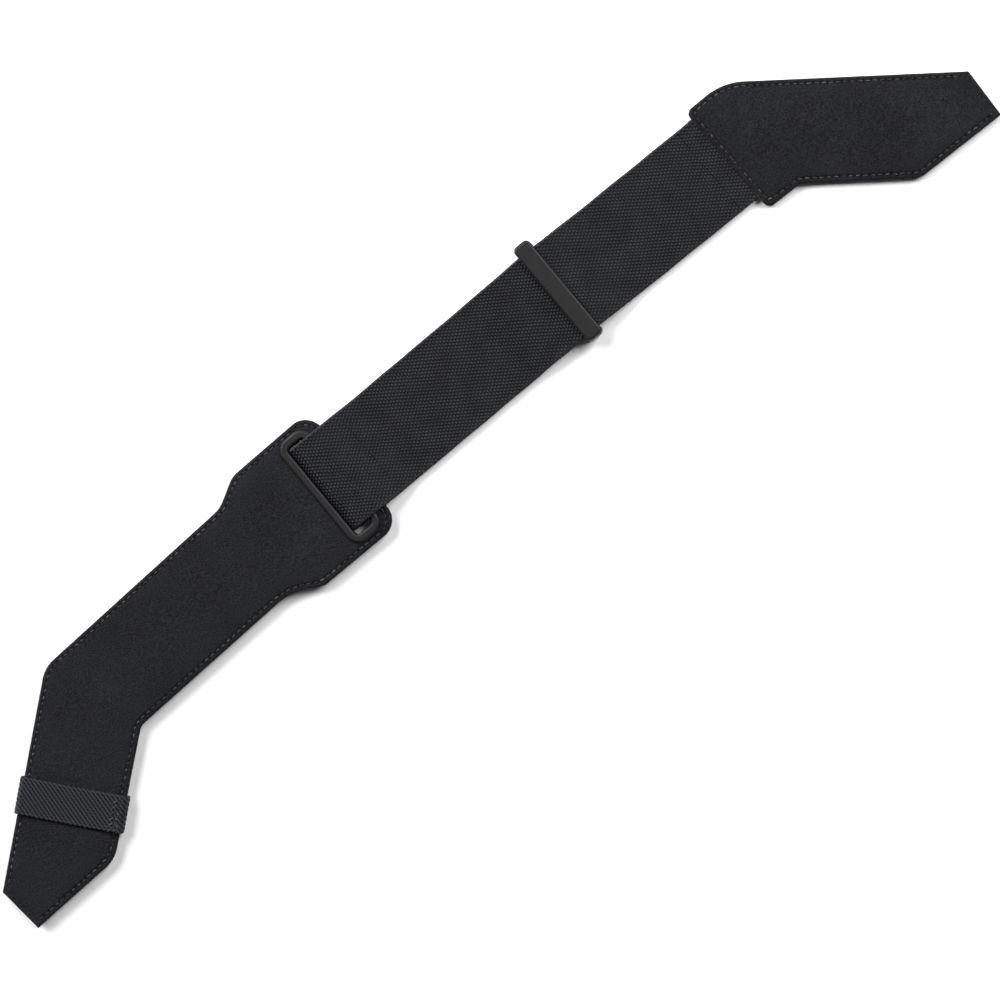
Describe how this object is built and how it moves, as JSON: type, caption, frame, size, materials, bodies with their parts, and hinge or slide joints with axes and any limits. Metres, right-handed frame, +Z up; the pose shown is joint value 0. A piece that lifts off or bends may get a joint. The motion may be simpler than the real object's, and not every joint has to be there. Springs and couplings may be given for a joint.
{
  "type": "goggle head strap",
  "caption": "Adjustable elastic head strap for video goggles: two shaped fabric arms joined by webbing that loops through a slot frame and is set by a slider.",
  "frame": {"origin": "middle of the strap's box, on the surface that it lies on, front face up", "axes": "+X along the webbing from the long left arm to the short right arm, +Y towards the arms' outer edges, +Z up through the front face"},
  "size_m": [0.4904, 0.0867, 0.0082],
  "materials": {
    "panel_fabric": "fine smooth brushed charcoal knit",
    "foam": "dark closed-cell foam between the panels",
    "thread": "dark grey polyester thread",
    "webbing": "coarse woven black elastic webbing",
    "keeper_elastic": "ribbed twill elastic, charcoal",
    "frame_plastic": "satin dark grey moulded plastic",
    "slider_plastic": "satin dark grey moulded plastic"
  },
  "bodies": {
    "slider": {"slider_buckle": "slider_plastic", "webbing_end_loop": "webbing", "end_loop_bar_tack": "thread"},
    "webbing_loop": {"webbing_front_span": "webbing", "webbing_return_span": "webbing"},
    "left_arm": {"left_front_panel": "panel_fabric", "left_foam_core": "foam", "left_back_panel": "panel_fabric", "left_perimeter_stitching": "thread", "slot_frame_front": "frame_plastic", "slot_frame_back": "frame_plastic", "keeper_band": "keeper_elastic", "keeper_zigzag_stitching": "thread", "webbing_slot_fold": "webbing"},
    "webbing_end": {"webbing_upper_span": "webbing"},
    "right_arm": {"right_front_panel": "panel_fabric", "right_foam_core": "foam", "right_back_panel": "panel_fabric", "right_perimeter_stitching": "thread", "webbing_anchor_stitching": "thread", "webbing_sewn_end": "webbing"}
  },
  "joints": [
    {"name": "slider_slide", "type": "slide", "parent": "slider", "child": "webbing_loop", "axis": [-1, 0, 0], "range_m": [-0.065, 0.03], "deforming": ["webbing_front_span", "webbing_return_span"]},
    {"name": "left_flex", "type": "hinge", "parent": "webbing_loop", "child": "left_arm", "pos_m": [-0.02915, 0.01605, 0.0045], "axis": [0, 1, 0], "range_deg": [0, 75], "deforming": ["webbing_slot_fold"]},
    {"name": "arm_takeup", "type": "slide", "parent": "slider", "child": "webbing_end", "axis": [1, 0, 0], "range_m": [-0.06, 0.13], "deforming": ["webbing_upper_span"]},
    {"name": "right_flex", "type": "hinge", "parent": "webbing_end", "child": "right_arm", "pos_m": [0.14935, 0.01575, 0.00195], "axis": [0, -1, 0], "range_deg": [0, 75], "deforming": ["webbing_sewn_end"]}
  ],
  "couplings": [
    {"joint": "arm_takeup", "follows": "slider_slide", "ratio": -2}
  ]
}
